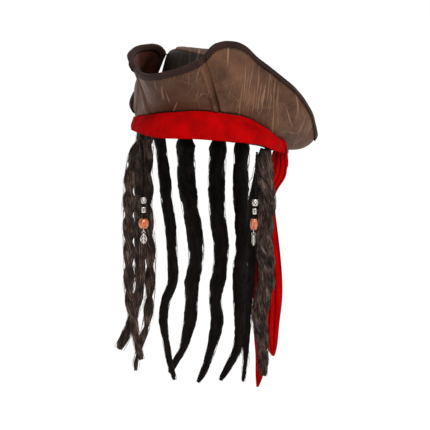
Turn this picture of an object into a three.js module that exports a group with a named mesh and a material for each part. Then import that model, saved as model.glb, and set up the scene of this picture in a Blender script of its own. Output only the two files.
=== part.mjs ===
// Pirate hat: a three-cornered hat of distressed imitation leather, worn over a red knitted bandana,
// with dreadlocks and two beaded strands sewn under its headband.
// Millimetres, +Z up, front towards -Y, the wearer's left towards +X.
// The origin is the centre of the head opening; the locks and the bandana's tails hang along -Z.
import * as THREE from "three";

// ---------------------------------------------------------------- driving dimensions
const HEAD_HALF_WIDTH = 82.5; // head opening, ear to ear
const HEAD_HALF_DEPTH = 100; // head opening, forehead to nape
const CROWN_HEIGHT = 100; // from the opening's plane to the crown's upper edge
const CROWN_TOP_HALF_WIDTH = 52;
const CROWN_TOP_HALF_DEPTH = 66;
const CROWN_LEAN = -9; // the soft crown leans over the right ear
const CROWN_SINK = 11; // and its top sinks towards the left ear
const BACK_TILT = 7.5; // degrees: the hat sits lower at the back of the head
const SIDE_TILT = 3.8; // degrees: and a little lower over the left ear
const BRIM_SCALE = 1; // reach of the brim's rim from the centre, against the standard pattern

const CLEARANCE = 0.35; // between pieces that touch
const SWEATBAND_THICKNESS = 1.2;
const SWEATBAND_GAP = 1.1; // the soft band stands a little off the crown's wall
const SWEATBAND_HEIGHT = 26;
const CROWN_WALL = 2;
const TIP_THICKNESS = 2;
const BRIM_PLY = 0.8; // each of the brim's two layers
const BINDING_TAPE = 0.8;
const BINDING_COVER = 5.5; // how far the folded tape reaches in from the rim
const BINDING_GAP = 1.2; // between the folded tape and the layers inside it
const BANDANA_THICKNESS = 2.2;
const BANDANA_GAP = 1.8; // the knitted band lies loosely on the crown's wall
const WEFT_THICKNESS = 1.4;
const WEFT_GAP = 1.3; // between the tape and the sweatband
const STRAND_RADIUS = 1.5;
const CHARM_RADIUS = 1.3; // the hole of a charm's eye
const CHARM_RING = 1.1; // and the metal round it

// ---------------------------------------------------------------- patterns, by angle round the head
// Angles are degrees from the forehead (-Y) towards the wearer's left ear (+X).

// Height of the seam where the brim leaves the crown.
const SEAM_HEIGHT = [
  [-75, 11], [-41, 15], [-17, 23], [4, 29], [25, 31], [46, 30], [64, 21], [88, 4],
  [105, -5], [122, -5], [140, 1], [160, 5], [185, 6], [240, 5], [265, 8],
];

// Height of the headband's lower edge, which the bandana covers in front.
const EDGE_HEIGHT = [
  [-75, 1], [-41, -1], [-12, -3], [11, 0], [35, 2], [53, 1], [69, -2], [90, -7],
  [105, -9], [122, -9], [140, -4], [160, 0], [185, 1], [240, 1], [265, 1],
];

// The brim, turned up on three sides: where each rib leaves the seam, where it meets the rim
// (angle, reach, height), and how far its middle stands out of the straight line between them.
const BRIM_RIBS = [
  [-4, -8, 143, 67, 3], // front corner
  [8, 3.6, 130, 79, 2],
  [16, 9.7, 120, 87, 3],
  [21.5, 13.2, 110, 95, 5], // soft ridge
  [26.5, 16.7, 98, 108, -3], // crease
  [33, 26.7, 92, 114, 3], // peak of the left flap
  [41, 38, 93, 111, 5],
  [51, 47, 92, 100, 6],
  [63, 60, 95, 88, 8],
  [79, 78, 103, 69.5, 9],
  [92, 92, 111, 51, 9],
  [102, 103, 117, 29.5, 7],
  [110, 111, 120, 14, 5], // left corner
  [119, 119, 116, 20, 5],
  [129, 127, 113, 34, 6],
  [143, 141, 110, 50, 8],
  [161, 160, 109, 67, 9],
  [181, 181, 110, 74, 9], // middle of the back flap
  [201, 202, 110, 73, 9],
  [219, 221, 112, 60, 8],
  [232, 233, 119, 38, 6],
  [241, 241, 129, 22, 4],
  [249, 248, 130, 20, 4], // right corner
  [254, 253, 123, 31, 6],
  [259, 257, 108, 46, 10],
  [265, 263, 84, 58, 16],
  [273, 272, 71, 76, 20],
  [281, 281, 67, 92, 18], // held to the crown by the tack
  [289, 289, 76, 98.5, 9],
  [299, 299, 94, 96, 0],
  [309, 308, 106, 89, -6],
  [319, 317, 115, 81, -9],
  [330, 330, 119, 69, -3], // soft ridge
  [343, 341, 134, 66, 2],
];
const STEPS_PER_RIB = 2;
const ROWS_UP_THE_BRIM = 6;

// The bandana's band runs from behind the right ear round the forehead to its knot.
const BAND_FROM = -88;
const BAND_TO = 92;
// The tapes that the hair is sewn to: one round the back and the right side, one at the left temple.
// drop is how far a tape shows below the headband.
const WEFTS = [
  { name: "hair_weft_back", from: 156, to: 316, steps: 20, drop: 7 },
  { name: "hair_weft_left", from: 50, to: 84, steps: 6, drop: 1 },
];
const TACKS = [
  { name: "tack_stitch_right", angle: 281, height: 0.88 * CROWN_HEIGHT },
];

// ---------------------------------------------------------------- materials
function finish(colour, roughness, metalness) {
  return new THREE.MeshStandardMaterial({ color: colour, roughness, metalness });
}
const leather = finish(0x6b503c, 0.55, 0);
const darkLeather = finish(0x3a2620, 0.6, 0);
const bindingTape = finish(0x2c1512, 0.7, 0);
const bandanaKnit = finish(0xc00608, 0.9, 0);
const cottonTwill = finish(0x1a1614, 0.9, 0);
const blackHair = finish(0x120d0b, 0.75, 0);
const brownHair = finish(0x2e2523, 0.75, 0);
const silver = finish(0xd8d2ca, 0.3, 1);
const amberWood = finish(0xc4743c, 0.4, 0);
const thread = finish(0x20140f, 0.8, 0);

// ---------------------------------------------------------------- helpers
// A smooth value at an angle, from rows of [angle, value] that close on themselves.
function valueAround(rows, angle) {
  const count = rows.length;
  const turn = 360;
  let a = angle;
  while (a < rows[0][0]) a += turn;
  while (a >= rows[0][0] + turn) a -= turn;
  let i = 0;
  while (i + 1 < count && rows[i + 1][0] <= a) i += 1;
  const row = (k) => {
    const wrapped = ((k % count) + count) % count;
    const shift = Math.floor(k / count) * turn;
    return [rows[wrapped][0] + shift, rows[wrapped][1]];
  };
  const [before, start, end, after] = [row(i - 1), row(i), row(i + 1), row(i + 2)];
  const span = end[0] - start[0];
  const t = (a - start[0]) / span;
  const leave = ((end[1] - before[1]) / (end[0] - before[0])) * span;
  const arrive = ((after[1] - start[1]) / (after[0] - start[0])) * span;
  return (
    start[1] * (2 * t ** 3 - 3 * t ** 2 + 1) + leave * (t ** 3 - 2 * t ** 2 + t)
    + end[1] * (3 * t ** 2 - 2 * t ** 3) + arrive * (t ** 3 - t ** 2)
  );
}

// Distance from the centre to an ellipse, in the direction of an angle.
function ellipseReach(halfWidth, halfDepth, angle) {
  const a = THREE.MathUtils.degToRad(angle);
  return 1 / Math.hypot(Math.sin(a) / halfWidth, Math.cos(a) / halfDepth);
}

function polar(angle, reach, height) {
  const a = THREE.MathUtils.degToRad(angle);
  return new THREE.Vector3(reach * Math.sin(a), -reach * Math.cos(a), height);
}

// One closed body through rings of points. The last ring joins the first, or both are capped.
function loft(rings, joined) {
  const positions = [];
  const index = [];
  const size = rings[0].length;
  rings.forEach((ring) => ring.forEach((p) => positions.push(p.x, p.y, p.z)));
  const last = joined ? rings.length : rings.length - 1;
  for (let r = 0; r < last; r += 1) {
    const next = (r + 1) % rings.length;
    for (let k = 0; k < size; k += 1) {
      const k2 = (k + 1) % size;
      const [a, b, c, d] = [r * size + k, r * size + k2, next * size + k2, next * size + k];
      index.push(a, b, c, a, c, d);
    }
  }
  if (!joined) {
    [0, rings.length - 1].forEach((r) => {
      const centre = new THREE.Vector3();
      rings[r].forEach((p) => centre.addScaledVector(p, 1 / size));
      positions.push(centre.x, centre.y, centre.z);
      const middle = positions.length / 3 - 1;
      for (let k = 0; k < size; k += 1) {
        const [a, b] = [r * size + k, r * size + ((k + 1) % size)];
        index.push(...(r === 0 ? [middle, b, a] : [middle, a, b]));
      }
    });
  }
  const geometry = new THREE.BufferGeometry();
  geometry.setAttribute("position", new THREE.Float32BufferAttribute(positions, 3));
  geometry.setIndex(volumeOf(positions, index) < 0 ? index.reverse() : index);
  geometry.computeVertexNormals();
  return geometry;
}

// Signed volume of a closed triangle mesh, negative when its faces point inwards.
function volumeOf(positions, index) {
  const at = (i) => new THREE.Vector3().fromArray(positions, 3 * i);
  let volume = 0;
  for (let i = 0; i < index.length; i += 3) {
    const [a, b, c] = [at(index[i]), at(index[i + 1]), at(index[i + 2])];
    volume += a.dot(b.cross(c)) / 6;
  }
  return volume;
}

function addMesh(parent, name, geometry, material) {
  const mesh = new THREE.Mesh(geometry, material);
  mesh.name = name;
  parent.add(mesh);
  return mesh;
}

function anglesBetween(from, to, steps) {
  return Array.from({ length: steps + 1 }, (_, i) => from + ((to - from) * i) / steps);
}

// ---------------------------------------------------------------- the crown
const WALL_INNER = SWEATBAND_THICKNESS + SWEATBAND_GAP; // from the head opening to the wall
const WALL_OUTER = WALL_INNER + CROWN_WALL;

// The wall's inner half sizes at a height: straight at the headband, drawn in above it, steep again
// up to the rounded upper edge.
function crownInnerHalves(height) {
  const rise = THREE.MathUtils.smoothstep(height, 8, 0.62 * CROWN_HEIGHT);
  const lean = THREE.MathUtils.clamp(height / CROWN_HEIGHT, 0, 1);
  const shoulder = THREE.MathUtils.smoothstep(height, 0.9 * CROWN_HEIGHT, CROWN_HEIGHT);
  const drawnIn = 0.88 * rise + 0.12 * lean;
  const blend = (wide, narrow) => wide + (narrow - wide) * drawnIn - 2.5 * shoulder;
  return [
    blend(HEAD_HALF_WIDTH + WALL_INNER, CROWN_TOP_HALF_WIDTH - CROWN_WALL),
    blend(HEAD_HALF_DEPTH + WALL_INNER, CROWN_TOP_HALF_DEPTH - CROWN_WALL),
  ];
}

// A point of the wall, a given distance out from its inner face.
function wallPoint(angle, height, out) {
  const [halfWidth, halfDepth] = crownInnerHalves(height);
  const point = polar(angle, ellipseReach(halfWidth + out, halfDepth + out, angle), height);
  point.x += CROWN_LEAN * THREE.MathUtils.smoothstep(height, 8, 0.62 * CROWN_HEIGHT);
  return point;
}

// Height of the wall's upper edge.
function crownEdgeHeight(angle) {
  const { x } = wallPoint(angle, CROWN_HEIGHT, 0);
  return CROWN_HEIGHT - CROWN_SINK * THREE.MathUtils.smoothstep(x, -12, 0.8 * CROWN_TOP_HALF_WIDTH);
}

const CROWN_SEGMENTS = 48;
const CROWN_RISE = [0.2, 0.45, 0.85, 1]; // shares of the wall's height above the sweatband

// Heights of the sweatband's rows, which the wall's own lower rows share.
function sweatbandHeights(angle) {
  const low = valueAround(EDGE_HEIGHT, angle);
  return [low, low + SWEATBAND_HEIGHT / 2, low + SWEATBAND_HEIGHT];
}

function crownSideGeometry() {
  const rings = anglesBetween(0, 360, CROWN_SEGMENTS).slice(0, -1).map((angle) => {
    const lower = sweatbandHeights(angle);
    const rest = crownEdgeHeight(angle) - lower[2];
    const heights = [...lower, ...CROWN_RISE.map((share) => lower[2] + share * rest)];
    const outside = heights.map((z) => wallPoint(angle, z, CROWN_WALL));
    const inside = heights.map((z) => wallPoint(angle, z, 0));
    return [...outside, ...inside.reverse()];
  });
  return loft(rings, true);
}

// The crown's top panel, laid on the wall's upper edge: a thin elliptical disc.
function crownTipGeometry() {
  const disc = (out, lift) => anglesBetween(0, 360, CROWN_SEGMENTS).slice(0, -1).map((angle) => {
    const edge = wallPoint(angle, crownEdgeHeight(angle), out);
    edge.z += CLEARANCE + lift;
    return edge;
  });
  return loft([
    disc(CROWN_WALL, 0),
    disc(CROWN_WALL, 0.6 * TIP_THICKNESS),
    disc(CROWN_WALL - 0.8, TIP_THICKNESS),
  ], false);
}

// The band inside the opening that rests on the head.
function sweatbandGeometry() {
  const rings = anglesBetween(0, 360, CROWN_SEGMENTS).slice(0, -1).map((angle) => {
    const side = (out) => sweatbandHeights(angle)
      .map((z) => wallPoint(angle, z, -SWEATBAND_GAP - out));
    return [...side(0), ...side(SWEATBAND_THICKNESS).reverse()];
  });
  return loft(rings, true);
}

// ---------------------------------------------------------------- the brim
const BRIM_OFF_MIDDLE = CLEARANCE / 2; // from the brim's middle surface to each layer
const BRIM_HALF = BRIM_OFF_MIDDLE + BRIM_PLY;

// A value between the ribs, smooth through them: position counts ribs, and closes on itself.
function betweenRibs(column, position) {
  const count = BRIM_RIBS.length;
  const i = Math.floor(position);
  const t = position - i;
  const wrapsAngle = column < 2;
  const value = (k) => {
    const wrapped = ((k % count) + count) % count;
    const turns = Math.floor(k / count);
    return BRIM_RIBS[wrapped][column] + (wrapsAngle ? 360 * turns : 0);
  };
  const [a, b, c, d] = [value(i - 1), value(i), value(i + 1), value(i + 2)];
  return (
    b + 0.5 * t * (c - a + t * (2 * a - 5 * b + 4 * c - d + t * (3 * (b - c) + d - a)))
  );
}

// One rib's points on the brim's middle surface, seam first. The last stretch is the binding's.
function ribPoints(position) {
  const seamAngle = betweenRibs(0, position);
  const seamHeight = valueAround(SEAM_HEIGHT, seamAngle) + 2;
  const foot = wallPoint(seamAngle, seamHeight, CROWN_WALL + CLEARANCE + BRIM_HALF);
  const rimAngle = betweenRibs(1, position);
  const rim = polar(rimAngle, betweenRibs(2, position) * BRIM_SCALE, betweenRibs(3, position));
  const chord = rim.clone().sub(foot);
  const along = polar((seamAngle + rimAngle) / 2 + 90, 1, 0);
  const outward = along.cross(chord).normalize();
  if (outward.dot(polar(seamAngle, 1, 0)) < 0) outward.negate();
  const control = foot.clone().lerp(rim, 0.5).addScaledVector(outward, 2 * betweenRibs(4, position));
  const curve = new THREE.QuadraticBezierCurve3(foot, control, rim);
  const bindingStart = 1 - BINDING_COVER / curve.getLength();
  const points = [];
  for (let row = 0; row < ROWS_UP_THE_BRIM; row += 1) {
    points.push(curve.getPointAt((bindingStart * row) / (ROWS_UP_THE_BRIM - 1)));
  }
  points.push(rim);
  return points;
}

const RIB_COUNT = BRIM_RIBS.length * STEPS_PER_RIB;
const brimGrid = Array.from({ length: RIB_COUNT }, (_, i) => ribPoints(i / STEPS_PER_RIB));

// The outward direction square to the brim at a point of its grid.
function brimNormal(rib, row) {
  const around = brimGrid[(rib + 1) % RIB_COUNT][row].clone()
    .sub(brimGrid[(rib + RIB_COUNT - 1) % RIB_COUNT][row]);
  const last = brimGrid[rib].length - 1;
  const up = brimGrid[rib][Math.min(row + 1, last)].clone()
    .sub(brimGrid[rib][Math.max(row - 1, 0)]);
  return around.cross(up).normalize();
}

const brimNormals = brimGrid.map((points, rib) => points.map((_, row) => brimNormal(rib, row)));

function brimPoint(rib, row, off) {
  return brimGrid[rib][row].clone().addScaledVector(brimNormals[rib][row], off);
}

// One of the brim's two layers, between two distances from its middle surface.
function brimLayerGeometry(near, far) {
  const rings = brimGrid.map((points, rib) => {
    const farSide = points.map((_, row) => brimPoint(rib, row, far));
    const nearSide = points.map((_, row) => brimPoint(rib, row, near));
    return [...farSide, ...nearSide.reverse()];
  });
  return loft(rings, true);
}

// The tape folded over the rim: a channel whose two legs lie on the brim's layers.
function bindingGeometry() {
  const inside = BRIM_HALF + BINDING_GAP;
  const outside = inside + BINDING_TAPE;
  const rings = brimGrid.map((points, rib) => {
    const rim = points.length - 1;
    const start = rim - 1;
    const past = points[rim].clone().sub(points[start]).normalize();
    const beyond = (off, reach) => brimPoint(rib, rim, off).addScaledVector(past, reach);
    const fold = BINDING_GAP + BINDING_TAPE;
    return [
      brimPoint(rib, start, outside), beyond(outside, 0), beyond(0.5 * outside, fold),
      beyond(-0.5 * outside, fold), beyond(-outside, 0), brimPoint(rib, start, -outside),
      brimPoint(rib, start, -inside), beyond(-inside, BINDING_GAP),
      beyond(inside, BINDING_GAP), brimPoint(rib, start, inside),
    ];
  });
  return loft(rings, true);
}

// The thread that holds the curled-in rim of the right flap to the crown.
function tackGeometry(tack) {
  const rib = BRIM_RIBS.findIndex((row) => row[0] === tack.angle) * STEPS_PER_RIB;
  const row = brimGrid[rib].length - 1;
  const from = wallPoint(tack.angle, tack.height, CROWN_WALL + 2 * CLEARANCE);
  const to = brimPoint(rib, row, -(BRIM_HALF + BINDING_GAP + BINDING_TAPE + 3 * CLEARANCE));
  const across = new THREE.Vector3(0, 0, 1);
  const sideways = to.clone().sub(from).cross(across).normalize();
  const upward = sideways.clone().cross(to.clone().sub(from)).normalize();
  const radius = 0.9;
  const ring = (centre) => anglesBetween(0, 360, 8).slice(0, -1).map((angle) => {
    const a = THREE.MathUtils.degToRad(angle);
    return centre.clone().addScaledVector(sideways, radius * Math.cos(a))
      .addScaledVector(upward, radius * Math.sin(a));
  });
  return loft([ring(from), ring(to)], false);
}

// ---------------------------------------------------------------- the bandana's band and the wefts
// A strip that follows the opening, between two angles: its section comes from a function.
function stripGeometry(from, to, steps, section) {
  return loft(anglesBetween(from, to, steps).map(section), false);
}

function bandanaBandSection(angle) {
  const low = valueAround(EDGE_HEIGHT, angle) - 1;
  const high = Math.max(low + 4, valueAround(SEAM_HEIGHT, angle) - 0.5);
  const at = (out, z) => wallPoint(angle, z, CROWN_WALL + out);
  const middle = (low + high) / 2;
  const outer = BANDANA_GAP + BANDANA_THICKNESS;
  return [
    at(outer - 0.8, low), at(outer + 0.4, middle), at(outer - 0.8, high),
    at(BANDANA_GAP, high), at(BANDANA_GAP, middle), at(BANDANA_GAP, low),
  ];
}

function weftSection(angle, drop) {
  const edge = valueAround(EDGE_HEIGHT, angle);
  const at = (out, z) => polar(
    angle,
    ellipseReach(HEAD_HALF_WIDTH + out, HEAD_HALF_DEPTH + out, angle),
    z,
  );
  const inner = -WEFT_GAP - WEFT_THICKNESS;
  return [
    at(-WEFT_GAP, edge - drop), at(-WEFT_GAP, edge + 4),
    at(inner, edge + 4), at(inner, edge - drop),
  ];
}

// ---------------------------------------------------------------- what hangs
// Everything that hangs is laid out in a frame turned about the vertical: x runs sideways,
// y towards the back and z up. Each route is a list of [x, y, z], root first.
const HANG_TURN = 22;

// The routes below suit a head of the standard size. On another head they move out with it.
const STANDARD_HALF_WIDTH = 82.5;
const STANDARD_HALF_DEPTH = 100;
function onThisHead([x, y, ...rest]) {
  const wider = HEAD_HALF_WIDTH / STANDARD_HALF_WIDTH;
  const deeper = HEAD_HALF_DEPTH / STANDARD_HALF_DEPTH;
  return [x * wider, y * deeper, ...rest];
}

const LOCKS = [
  {
    name: "back_lock_1", radii: [6.4, 6.4, 5.8, 5, 2.2], hair: blackHair,
    route: [
      [-60, 58, -8], [-54, 60, -58], [-52, 62, -83], [-48, 62, -106], [-46, 62, -140],
      [-45, 62, -176], [-53, 62, -199], [-56, 62, -222], [-53, 62, -245], [-49, 62, -269],
      [-43, 61, -292],
    ],
  },
  {
    name: "back_lock_2", radii: [10.4, 9.6, 8.4, 7, 3], hair: blackHair,
    route: [
      [-30, 85, -18], [-29, 86, -62], [-26, 86, -85], [-20, 86, -120], [-18, 86, -154],
      [-23, 86, -183], [-24, 86, -218], [-28, 86, -240], [-33, 86, -259], [-42, 85, -274],
      [-49, 84, -287],
    ],
  },
  {
    name: "back_lock_3", radii: [9.8, 9, 8.2, 7, 2.6], hair: blackHair,
    route: [
      [8, 96, -21], [6, 96, -62], [7, 96, -103], [11, 96, -138], [9, 96, -173], [5, 96, -195],
      [6, 96, -230], [2, 96, -252], [-5, 96, -276], [-10, 95, -289], [-16, 94, -300],
    ],
  },
  {
    name: "back_lock_4", radii: [8.8, 8.6, 8.2, 7, 2.6], hair: blackHair,
    route: [
      [35, 92, -23], [34, 92, -62], [34, 92, -85], [36, 92, -114], [36, 92, -143],
      [33, 92, -168], [33, 92, -213], [34, 92, -238], [29, 92, -263], [20, 91, -280],
      [10, 90, -297],
    ],
  },
  {
    name: "left_lock_thick", radii: [8, 9, 9, 8.4, 4], hair: brownHair,
    route: [
      [61, -56, -15], [62, -58, -41], [64, -60, -64], [62, -60, -87], [60, -60, -111],
      [63, -60, -134], [63, -60, -157], [58, -60, -180], [55, -60, -200], [57, -60, -218],
      [59, -60, -236], [60, -60, -268],
    ],
  },
  {
    name: "left_lock_thin", radii: [4.5, 6, 5.4, 4.2, 1.8], hair: brownHair,
    route: [
      [58, -40, -22], [53, -39, -40], [49, -38, -64], [48, -38, -106], [46, -38, -150],
      [42, -38, -190], [40, -38, -229], [39, -38, -255], [36, -38, -278],
    ],
  },
  {
    name: "right_lock_1", radii: [5.6, 6.4, 6.2, 5.4, 3.4], hair: brownHair,
    route: [
      [-81, -9, 1], [-90, -8, -24], [-94, -6, -55], [-95, -5, -90], [-95, -4, -125],
      [-95, -4, -158], [-94, -4, -189], [-90, -4, -213], [-86, -4, -238], [-81, -4, -258],
    ],
  },
  {
    name: "right_lock_2", radii: [5.6, 6.4, 6.2, 5.4, 5], hair: brownHair,
    route: [
      [-81, 12, 0], [-82, 20, -26], [-82, 24, -60], [-83, 25, -92], [-83, 25, -125],
      [-83, 25, -170], [-87, 25, -199], [-92, 25, -216], [-99, 25, -233], [-107, 25, -250],
    ],
  },
  {
    name: "right_lock_3", radii: [5.6, 6.2, 6, 5, 2], hair: brownHair,
    route: [
      [-72, 38, -6], [-74, 44, -32], [-74, 47, -62], [-74, 48, -95], [-72, 48, -128],
      [-71, 48, -161], [-72, 48, -196], [-75, 48, -225], [-82, 48, -247], [-87, 48, -266],
      [-88, 48, -279],
    ],
  },
];

const LEFT_STRAND = {
  name: "left_bead_strand", radii: [STRAND_RADIUS, STRAND_RADIUS], hair: brownHair,
  route: [[52, -67, -8], [51, -72, -24], [51, -75, -44], [50, -76, -64], [48, -76, -98]],
};
const RIGHT_STRAND = {
  name: "right_bead_strand", radii: [STRAND_RADIUS, STRAND_RADIUS], hair: brownHair,
  route: [[-82, -27, 0], [-79, -28, -14], [-78, -28, -40], [-78, -28, -66], [-78, -28, -103]],
};

// Beads on each strand: the height of the middle, the outer radius and the length.
const BEAD_BORE = STRAND_RADIUS + 0.6;
const LEFT_BEADS = [
  { name: "left_silver_bead", height: -65, radius: 4.25, length: 7.6, material: silver },
  { name: "left_silver_tube", height: -75, radius: 2.9, length: 6.8, material: silver },
  { name: "left_amber_bead", height: -90, radius: 4.9, length: 12.6, material: amberWood },
];
const RIGHT_BEADS = [
  { name: "right_silver_bead", height: -69, radius: 3.8, length: 7, material: silver },
  { name: "right_silver_tube", height: -80, radius: 3, length: 6.8, material: silver },
  { name: "right_amber_bead", height: -96, radius: 6.4, length: 11.4, material: amberWood },
];

// A tube that follows a route, its radius eased through a short list from root to tip.
function hangingTube(route, radii, stepLength, sides) {
  const curve = new THREE.CatmullRomCurve3(route.map((p) => new THREE.Vector3(...p)));
  const steps = Math.max(8, Math.round(curve.getLength() / stepLength));
  const up = new THREE.Vector3(0, 1, 0);
  const rings = Array.from({ length: steps + 1 }, (_, i) => {
    const share = i / steps;
    const centre = curve.getPointAt(share);
    const forward = i === 0 ? new THREE.Vector3(0, 0, -1) : curve.getTangentAt(share);
    const sideways = forward.clone().cross(up).normalize();
    const across = sideways.clone().cross(forward).normalize();
    const place = share * (radii.length - 1);
    const from = Math.min(Math.floor(place), radii.length - 2);
    const radius = THREE.MathUtils.lerp(radii[from], radii[from + 1], place - from);
    return anglesBetween(0, 360, sides).slice(0, -1).map((angle) => {
      const a = THREE.MathUtils.degToRad(angle);
      return centre.clone().addScaledVector(sideways, radius * Math.cos(a))
        .addScaledVector(across, radius * Math.sin(a));
    });
  });
  return loft(rings, false);
}

// Where a route is at a height.
function routeAt(route, height) {
  const i = Math.max(0, route.findIndex((p) => p[2] <= height) - 1);
  const [from, to] = [new THREE.Vector3(...route[i]), new THREE.Vector3(...route[i + 1])];
  return from.clone().lerp(to, (height - from.z) / (to.z - from.z));
}

// A barrel-shaped bead with a bore, turned about Z.
function beadGeometry(bead) {
  const half = bead.length / 2;
  const shoulder = 0.62 * bead.radius + 0.38 * BEAD_BORE;
  const profile = [
    [BEAD_BORE, -half], [shoulder, -half], [0.95 * bead.radius, -0.5 * half],
    [0.95 * bead.radius, 0.5 * half], [shoulder, half], [BEAD_BORE, half], [BEAD_BORE, -half],
  ];
  return new THREE.LatheGeometry(profile.map(([r, z]) => new THREE.Vector2(r, z)), 14)
    .rotateX(Math.PI / 2);
}

// A flat pendant with an eye at its top, hung below the strand's end.
function charmGeometry(width, length, thickness) {
  const eye = CHARM_RADIUS + CHARM_RING;
  const around = (radius, angles) => angles.map((angle) => {
    const a = THREE.MathUtils.degToRad(angle);
    return new THREE.Vector2(radius * Math.cos(a), radius * Math.sin(a));
  });
  const half = width / 2;
  const leaf = [
    [-0.9 * half, -0.4], [-half, -0.62], [-0.7 * half, -0.86], [0, -1],
    [0.7 * half, -0.86], [half, -0.62], [0.9 * half, -0.4],
  ].map(([x, share]) => new THREE.Vector2(x, share * length));
  const outline = new THREE.Shape([...around(eye, anglesBetween(-40, 220, 8)), ...leaf]);
  outline.holes.push(new THREE.Path(around(CHARM_RADIUS, anglesBetween(315, 0, 7))));
  return new THREE.ExtrudeGeometry(outline, { depth: thickness, bevelEnabled: false })
    .translate(0, 0, -thickness / 2)
    .rotateX(Math.PI / 2);
}

// The gather where the bandana's band turns down over the ear and is cinched, and its two tails.
// Each row is [x, y, z, half width], from the top down.
const FOLDED_CLOTH = [
  {
    name: "bandana_gather", thickness: 8,
    rows: [
      [73, -25, -16, 7], [76, -25, -22, 11], [77, -25, -30, 11.5], [75, -26, -42, 11.5],
      [70, -27, -54, 9], [66, -27, -65.5, 6],
    ],
  },
  {
    name: "bandana_tail_front", thickness: 7,
    rows: [
      [66, -27, -70, 2.2], [66, -27, -74, 4.6], [66, -27, -80, 7], [65, -27, -92, 9.5],
      [68, -27, -139, 12], [70, -27, -185, 12],
      [69, -27, -222, 10], [70, -27, -242, 6], [71, -27, -250, 1.5],
    ],
  },
  {
    name: "bandana_tail_back", thickness: 7,
    rows: [
      [61, -16, -69.5, 4.5], [60, -16, -74, 6.5], [58, -15, -92, 9.5], [57, -15, -118, 10],
      [56, -15, -170, 10], [56, -15, -220, 9], [57, -15, -250, 7.5],
      [55, -15, -275, 5], [53, -15, -288, 1.5],
    ],
  },
];

function foldedClothGeometry(cloth) {
  const rings = cloth.rows.map(onThisHead).map(([x, y, z, halfWidth]) => {
    const half = Math.min(cloth.thickness / 2, 0.8 * halfWidth);
    return anglesBetween(0, 360, 12).slice(0, -1).map((angle) => {
      const a = THREE.MathUtils.degToRad(angle);
      return new THREE.Vector3(x + halfWidth * Math.cos(a), y + half * Math.sin(a), z);
    });
  });
  return loft(rings, false);
}

// ---------------------------------------------------------------- assembly
const hat = new THREE.Group();
hat.rotation.set(
  -THREE.MathUtils.degToRad(BACK_TILT),
  THREE.MathUtils.degToRad(SIDE_TILT),
  0,
);
addMesh(hat, "crown_side", crownSideGeometry(), leather);
addMesh(hat, "crown_tip", crownTipGeometry(), leather);
addMesh(hat, "sweatband", sweatbandGeometry(), cottonTwill);
addMesh(hat, "brim_outer", brimLayerGeometry(BRIM_OFF_MIDDLE, BRIM_HALF), leather);
addMesh(hat, "brim_facing", brimLayerGeometry(-BRIM_OFF_MIDDLE, -BRIM_HALF), darkLeather);
addMesh(hat, "brim_binding", bindingGeometry(), bindingTape);
TACKS.forEach((tack) => addMesh(hat, tack.name, tackGeometry(tack), thread));
addMesh(hat, "bandana_band", stripGeometry(BAND_FROM, BAND_TO, 30, bandanaBandSection), bandanaKnit);
WEFTS.forEach((weft) => {
  const section = (angle) => weftSection(angle, weft.drop);
  addMesh(hat, weft.name, stripGeometry(weft.from, weft.to, weft.steps, section), cottonTwill);
});

const hanging = new THREE.Group();
hanging.rotation.z = THREE.MathUtils.degToRad(HANG_TURN);
LOCKS.forEach((lock) => {
  const route = lock.route.map(onThisHead);
  addMesh(hanging, lock.name, hangingTube(route, lock.radii, 17, 8), lock.hair);
});
[[LEFT_STRAND, LEFT_BEADS, [4.4, 15, 1.8]], [RIGHT_STRAND, RIGHT_BEADS, [8, 15, 1.8]]]
  .forEach(([strand, beads, charmSize]) => {
    const route = strand.route.map(onThisHead);
    addMesh(hanging, strand.name, hangingTube(route, strand.radii, 9, 8), strand.hair);
    beads.forEach((bead) => {
      const mesh = addMesh(hanging, bead.name, beadGeometry(bead), bead.material);
      mesh.position.copy(routeAt(route, bead.height));
    });
    const end = route.at(-1);
    const side = strand.name.split("_")[0];
    const charm = addMesh(hanging, `${side}_charm`, charmGeometry(...charmSize), silver);
    charm.position.set(end[0], end[1], end[2] - CHARM_RADIUS - CHARM_RING - CLEARANCE);
  });
FOLDED_CLOTH.forEach((cloth) => {
  addMesh(hanging, cloth.name, foldedClothGeometry(cloth), bandanaKnit);
});

const group = new THREE.Group();
group.add(hat, hanging);
export default group;
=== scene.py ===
# %% [markdown]
# # A pirate hat with dreadlocks
# This notebook dresses a three-cornered hat of cracked imitation leather. It is worn over a red
# knitted bandana, and dreadlocks and two beaded strands are sewn under its headband.
# The shapes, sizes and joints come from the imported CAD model. Each piece made here takes the place
# of the plain CAD solids that it names, and rides on the same body, so that it swings with them.

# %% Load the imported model
import math

import bmesh
import bpy
import numpy as np
from mathutils import Matrix, Vector, noise


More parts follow.
